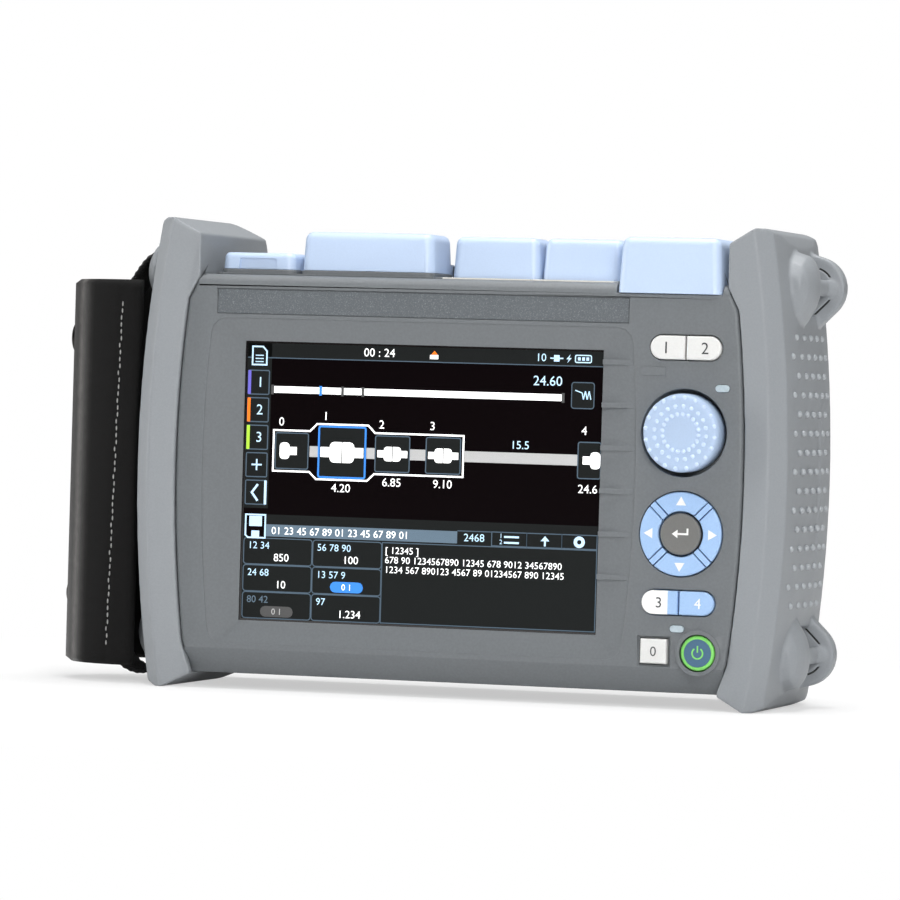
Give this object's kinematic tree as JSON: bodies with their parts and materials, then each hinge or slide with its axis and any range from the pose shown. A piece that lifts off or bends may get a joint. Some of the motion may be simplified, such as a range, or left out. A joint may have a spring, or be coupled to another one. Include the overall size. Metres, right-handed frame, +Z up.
{
  "type": "optical time domain reflectometer",
  "caption": "Handheld fibre tester with a bright screen, push dial, sprung keys, flip port covers, rubber side bumpers, tilt stand and a padded hand strap.",
  "frame": {"origin": "on the surface it stands on, below the centre of the whole object's box", "axes": "+X to the user's right along the width, +Y from the screen to the back, +Z up"},
  "size_m": [0.2513, 0.0716, 0.148],
  "materials": {
    "case_plastic": "fine satin grain, mid grey",
    "bumper_rubber": "satin grey elastomer",
    "cover_blue": "pale blue, semi gloss",
    "key_white": "white, semi gloss",
    "key_blue": "blue, semi gloss",
    "key_grey": "grey",
    "dial_blue": "pale blue, semi gloss",
    "ring_green": "clear green, lit",
    "disc_slate": "dark slate blue",
    "screen_glass": "touch panel over the display",
    "lens_clear": "milky lamp lens",
    "plate_grey": "speckled grey",
    "plate_white": "blank label",
    "metal": "bright metal",
    "steel": "steel",
    "port_metal": "nickel-plated",
    "board_green": "circuit board",
    "black_plastic": "black",
    "webbing": "black woven webbing",
    "leather": "black grained leather, padded"
  },
  "bodies": {
    "case": {"front_cover": "case_plastic", "rear_cover": "case_plastic", "bumper_right": "bumper_rubber", "bumper_left": "bumper_rubber", "touch_panel": "screen_glass", "display_module": "metal", "display_tray": "steel", "main_board": "board_green", "key_board": "board_green", "optical_engine": "metal", "key_switches": "black_plastic", "navigation_bridge": "key_blue", "encoder_housing": "black_plastic", "hinge_rail": "case_plastic", "hinge_pin_rod": "steel", "port_plinth": "case_plastic", "label_plate_two": "plate_white", "label_plate_three": "plate_white", "optical_port_one": "port_metal", "optical_port_two": "port_metal", "optical_port_three": "port_metal", "optical_port_four": "port_metal", "data_socket": "steel", "name_plate": "plate_grey", "laser_lens": "lens_clear", "charge_lens": "lens_clear", "battery_pack": "black_plastic", "strap_upper": "webbing", "strap_lower": "webbing", "grip_pad": "leather", "grip_snaps": "steel"},
    "real_time_key": {"real_time_key": "key_white"},
    "average_key": {"average_key": "key_white"},
    "menu_key": {"menu_key": "key_blue"},
    "setup_key": {"setup_key": "key_blue"},
    "escape_key": {"escape_key": "key_white"},
    "enter_key": {"enter_key": "key_grey"},
    "right_key": {"right_key": "key_blue"},
    "up_key": {"up_key": "key_blue"},
    "left_key": {"left_key": "key_blue"},
    "down_key": {"down_key": "key_blue"},
    "usb_cover": {"usb_cover": "cover_blue"},
    "port_cover_one": {"port_cover_one": "cover_blue"},
    "port_cover_two": {"port_cover_two": "cover_blue"},
    "port_cover_three": {"port_cover_three": "cover_blue"},
    "power_meter_cover": {"power_meter_cover": "cover_blue"},
    "battery_door": {"battery_door": "case_plastic"},
    "tilt_stand": {"tilt_stand": "case_plastic"},
    "power_key": {"power_ring": "ring_green", "power_disc": "disc_slate"},
    "dial_plunger": {"encoder_plunger": "black_plastic"},
    "dial": {"dial_shaft": "steel", "dial_knob": "dial_blue"}
  },
  "joints": [
    {"name": "real_time_key_press", "type": "slide", "parent": "case", "child": "real_time_key", "axis": [0, 1, 0], "range_m": [0, 0.0008], "stiffness_N_per_m": 1500, "springref_m": -0.0003},
    {"name": "average_key_press", "type": "slide", "parent": "case", "child": "average_key", "axis": [0, 1, 0], "range_m": [0, 0.0008], "stiffness_N_per_m": 1500, "springref_m": -0.0003},
    {"name": "menu_key_press", "type": "slide", "parent": "case", "child": "menu_key", "axis": [0, 1, 0], "range_m": [0, 0.0008], "stiffness_N_per_m": 1500, "springref_m": -0.0003},
    {"name": "setup_key_press", "type": "slide", "parent": "case", "child": "setup_key", "axis": [0, 1, 0], "range_m": [0, 0.0008], "stiffness_N_per_m": 1500, "springref_m": -0.0003},
    {"name": "escape_key_press", "type": "slide", "parent": "case", "child": "escape_key", "axis": [0, 1, 0], "range_m": [0, 0.0008], "stiffness_N_per_m": 1500, "springref_m": -0.0003},
    {"name": "enter_key_press", "type": "slide", "parent": "case", "child": "enter_key", "axis": [0, 1, 0], "range_m": [0, 0.0008], "stiffness_N_per_m": 1500, "springref_m": -0.0003},
    {"name": "right_key_press", "type": "slide", "parent": "case", "child": "right_key", "axis": [0, 1, 0], "range_m": [0, 0.0008], "stiffness_N_per_m": 1500, "springref_m": -0.0003},
    {"name": "up_key_press", "type": "slide", "parent": "case", "child": "up_key", "axis": [0, 1, 0], "range_m": [0, 0.0008], "stiffness_N_per_m": 1500, "springref_m": -0.0003},
    {"name": "left_key_press", "type": "slide", "parent": "case", "child": "left_key", "axis": [0, 1, 0], "range_m": [0, 0.0008], "stiffness_N_per_m": 1500, "springref_m": -0.0003},
    {"name": "down_key_press", "type": "slide", "parent": "case", "child": "down_key", "axis": [0, 1, 0], "range_m": [0, 0.0008], "stiffness_N_per_m": 1500, "springref_m": -0.0003},
    {"name": "power_key_press", "type": "slide", "parent": "case", "child": "power_key", "axis": [0, 1, 0], "range_m": [0, 0.0008], "stiffness_N_per_m": 1500, "springref_m": -0.0003},
    {"name": "dial_push", "type": "slide", "parent": "case", "child": "dial_plunger", "axis": [0, 1, 0], "range_m": [0, 0.0006], "stiffness_N_per_m": 3000, "springref_m": -0.0003},
    {"name": "dial_turn", "type": "hinge", "parent": "dial_plunger", "child": "dial", "pos_m": [0.08615, -0.0276, 0.0849], "axis": [0, -1, 0], "continuous": true},
    {"name": "usb_cover_hinge", "type": "hinge", "parent": "case", "child": "usb_cover", "pos_m": [0.01315, 0.0014, 0.1336], "axis": [-1, 0, 0], "range_deg": [0, 110]},
    {"name": "port_cover_one_hinge", "type": "hinge", "parent": "case", "child": "port_cover_one", "pos_m": [0.01315, 0.0014, 0.1336], "axis": [-1, 0, 0], "range_deg": [0, 110]},
    {"name": "port_cover_two_hinge", "type": "hinge", "parent": "case", "child": "port_cover_two", "pos_m": [0.01315, 0.0014, 0.1336], "axis": [-1, 0, 0], "range_deg": [0, 110]},
    {"name": "port_cover_three_hinge", "type": "hinge", "parent": "case", "child": "port_cover_three", "pos_m": [0.01315, 0.0014, 0.1336], "axis": [-1, 0, 0], "range_deg": [0, 110]},
    {"name": "power_meter_cover_hinge", "type": "hinge", "parent": "case", "child": "power_meter_cover", "pos_m": [0.01315, 0.0014, 0.1336], "axis": [-1, 0, 0], "range_deg": [0, 110]},
    {"name": "battery_door_lift", "type": "slide", "parent": "case", "child": "battery_door", "axis": [0, 1, 0], "range_m": [0, 0.03]},
    {"name": "stand_hinge", "type": "hinge", "parent": "case", "child": "tilt_stand", "pos_m": [0.01315, 0.0338, 0.0704], "axis": [1, 0, 0], "range_deg": [0, 45]}
  ]
}
